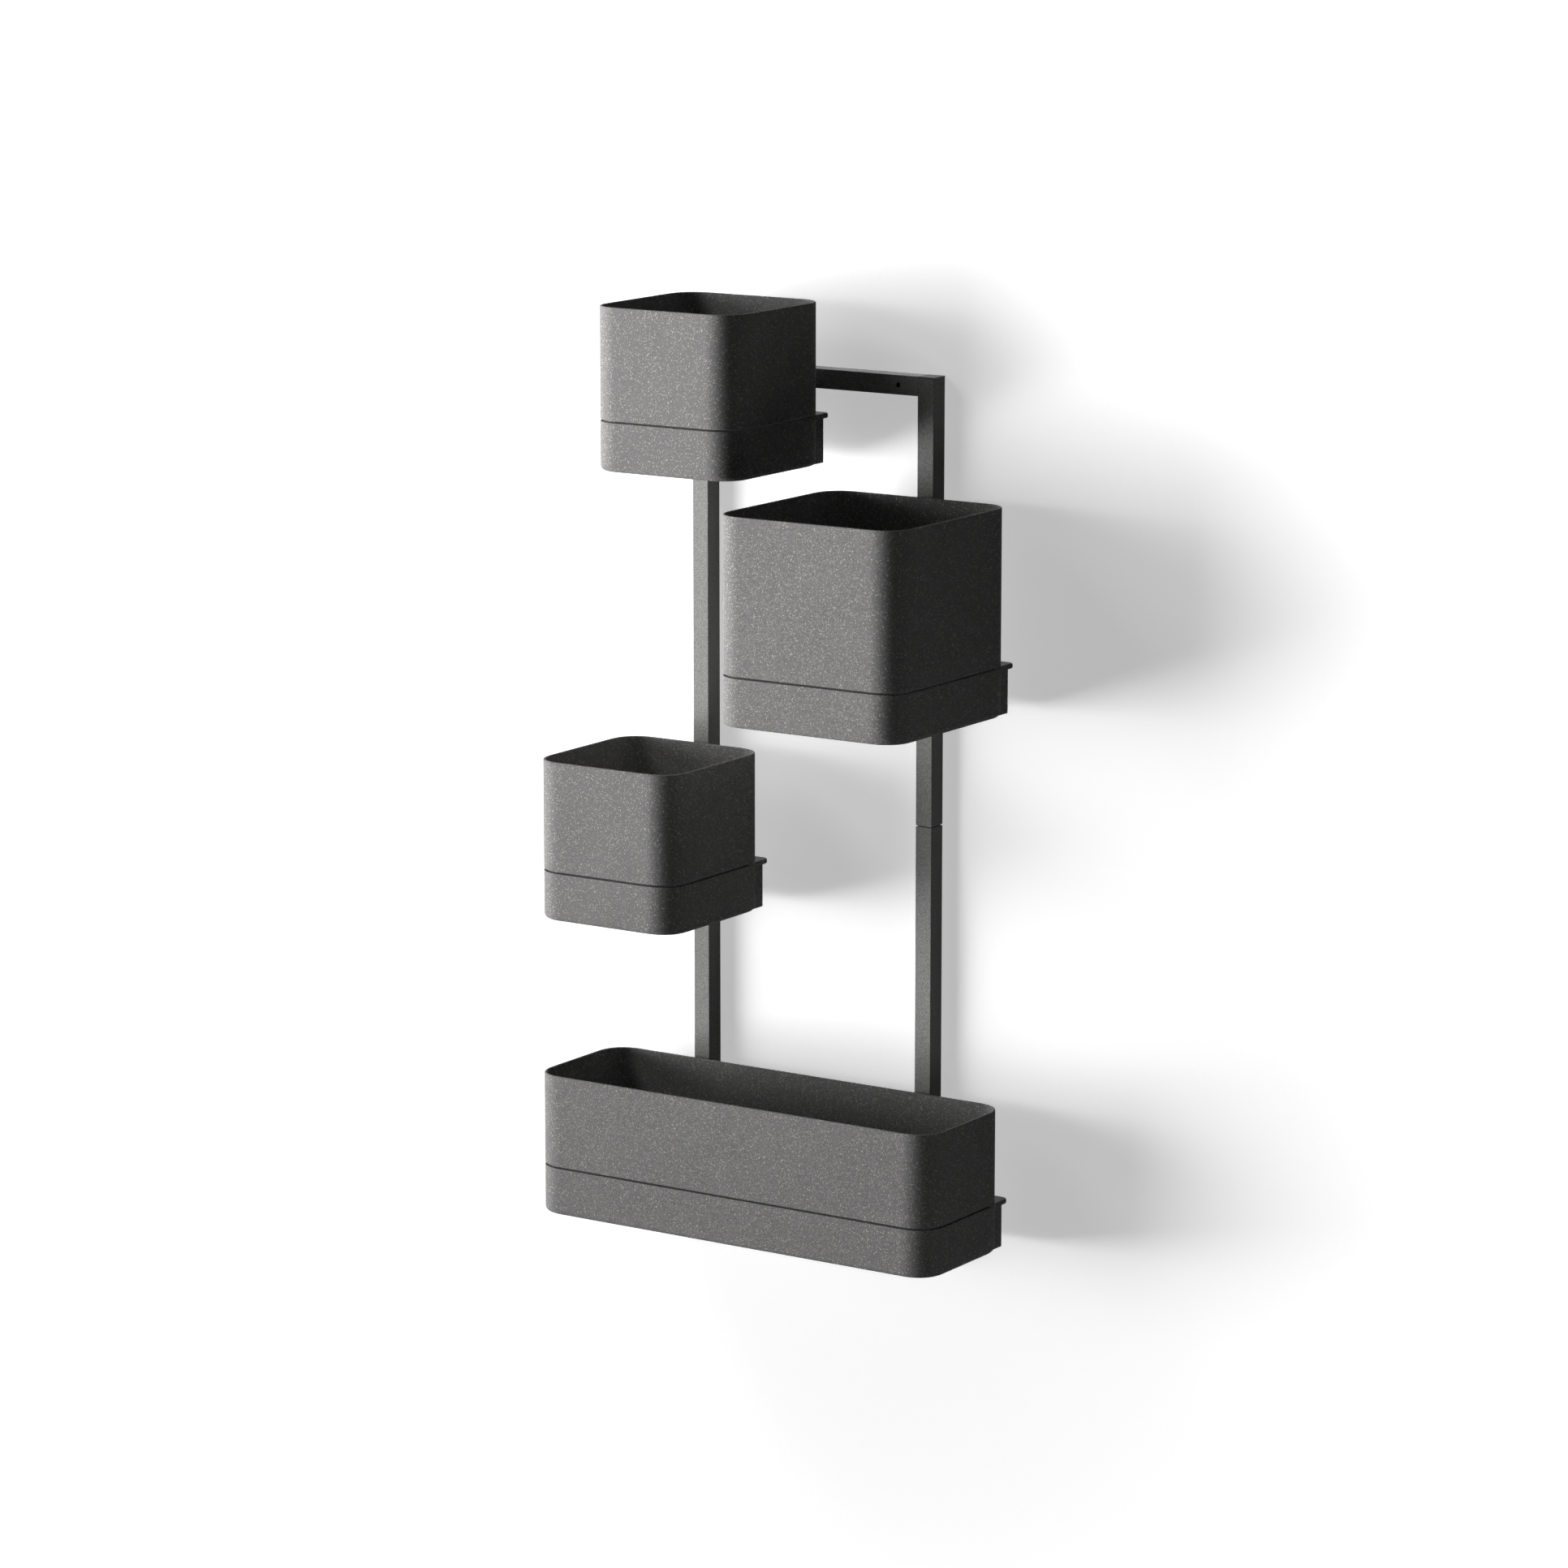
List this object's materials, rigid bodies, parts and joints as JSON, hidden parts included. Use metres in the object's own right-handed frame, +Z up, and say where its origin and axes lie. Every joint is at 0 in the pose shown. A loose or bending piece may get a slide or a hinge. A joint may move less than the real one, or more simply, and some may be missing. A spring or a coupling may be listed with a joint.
{
  "type": "wall planter",
  "caption": "Wall-hung planter: flecked grey pots nest in self-watering trays that hook on a slim grey frame of posts and rails screwed to a wall.",
  "frame": {"origin": "middle of the four wall screw holes, on the wall plane, at the level of the joint in the posts", "axes": "+Z up the wall, +Y into the wall, so the front faces -Y"},
  "size_m": [0.563, 0.284, 1.144],
  "materials": {
    "flecked_composite": "matte moulded composite, mid grey with fine cream flecks",
    "frame_steel": "mid grey fine powder coat",
    "hanger_steel": "dark grey fine powder coat",
    "screw_steel": "zinc-plated steel",
    "splice_aluminium": "mill finish",
    "cap_plastic": "near-black moulded plastic",
    "cup_plastic": "dark grey moulded plastic"
  },
  "bodies": {
    "frame": {"post_upper_left": "frame_steel", "post_upper_right": "frame_steel", "post_lower_left": "frame_steel", "post_lower_right": "frame_steel", "top_rail": "frame_steel", "bottom_rail": "frame_steel", "splice_left": "splice_aluminium", "splice_right": "splice_aluminium", "splice_screws": "screw_steel", "post_end_caps": "cap_plastic", "hanger_top": "hanger_steel", "hanger_medium": "hanger_steel", "hanger_lower": "hanger_steel", "hanger_long_left": "hanger_steel", "hanger_long_right": "hanger_steel", "hanger_screws": "screw_steel"},
    "tray_top": {"tray_top": "flecked_composite"},
    "pot_top": {"pot_top": "flecked_composite", "wick_cup_top": "cup_plastic"},
    "tray_medium": {"tray_medium": "flecked_composite"},
    "pot_medium": {"pot_medium": "flecked_composite", "wick_cup_medium": "cup_plastic"},
    "tray_lower": {"tray_lower": "flecked_composite"},
    "pot_lower": {"pot_lower": "flecked_composite", "wick_cup_lower": "cup_plastic"},
    "tray_long": {"tray_long": "flecked_composite"},
    "pot_long": {"pot_long": "flecked_composite", "wick_cup_long_left": "cup_plastic", "wick_cup_long_right": "cup_plastic"}
  },
  "joints": [
    {"name": "tray_top_unhook", "type": "slide", "parent": "frame", "child": "tray_top", "axis": [0, 0, 1], "range_m": [0, 0.042]},
    {"name": "pot_top_lift", "type": "slide", "parent": "tray_top", "child": "pot_top", "axis": [0, 0, 1], "range_m": [0, 0.062]},
    {"name": "tray_medium_unhook", "type": "slide", "parent": "frame", "child": "tray_medium", "axis": [0, 0, 1], "range_m": [0, 0.042]},
    {"name": "pot_medium_lift", "type": "slide", "parent": "tray_medium", "child": "pot_medium", "axis": [0, 0, 1], "range_m": [0, 0.062]},
    {"name": "tray_lower_unhook", "type": "slide", "parent": "frame", "child": "tray_lower", "axis": [0, 0, 1], "range_m": [0, 0.042]},
    {"name": "pot_lower_lift", "type": "slide", "parent": "tray_lower", "child": "pot_lower", "axis": [0, 0, 1], "range_m": [0, 0.062]},
    {"name": "tray_long_unhook", "type": "slide", "parent": "frame", "child": "tray_long", "axis": [0, 0, 1], "range_m": [0, 0.042]},
    {"name": "pot_long_lift", "type": "slide", "parent": "tray_long", "child": "pot_long", "axis": [0, 0, 1], "range_m": [0, 0.062]}
  ]
}
